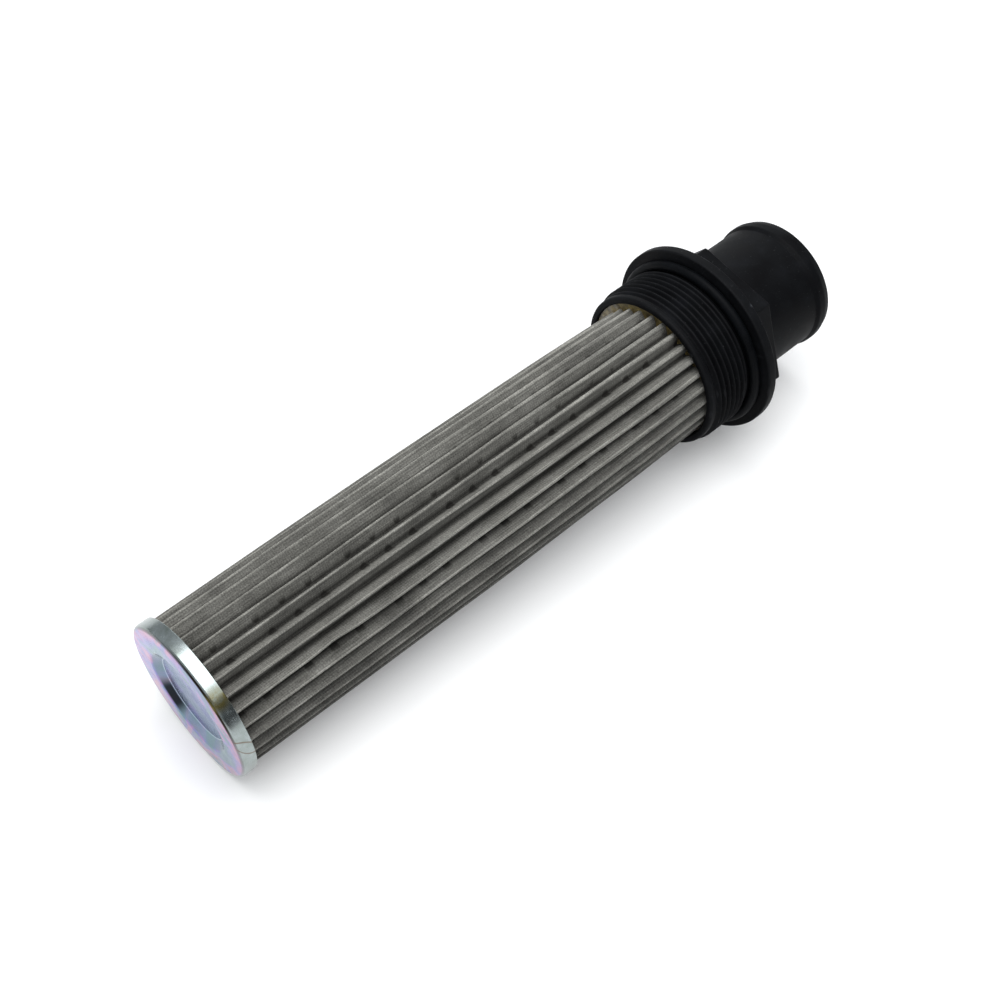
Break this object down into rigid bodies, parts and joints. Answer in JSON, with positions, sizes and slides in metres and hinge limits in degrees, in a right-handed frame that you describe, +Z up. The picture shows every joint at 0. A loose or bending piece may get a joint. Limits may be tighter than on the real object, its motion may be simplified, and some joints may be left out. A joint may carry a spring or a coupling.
{
  "type": "hydraulic suction strainer",
  "caption": "Pleated wire mesh suction strainer on a perforated core, with a dished end cap and a moulded connector that has a tank thread, flange, hexagon and beaded hose tail.",
  "frame": {"origin": "on the axis, in the plane of the flange face that seals on the tank wall", "axes": "+X along the axis from the end cap to the hose tail, +Z up, as screwed into the side wall of a tank"},
  "size_m": [0.2615, 0.0702, 0.0702],
  "materials": {
    "moulded_nylon": "satin moulded nylon",
    "seal_rubber": "smooth nitrile rubber",
    "wire_mesh": "woven stainless wire",
    "core_steel": "plain perforated strip",
    "zinc_plate": "bright zinc plate with a clear passivate",
    "resin": "cast epoxy resin"
  },
  "bodies": {
    "root": {"connector": "moulded_nylon", "o_ring": "seal_rubber", "pleated_mesh": "wire_mesh", "core_tube": "core_steel", "end_cap": "zinc_plate", "outlet_potting": "resin", "cap_potting": "resin"}
  },
  "joints": []
}
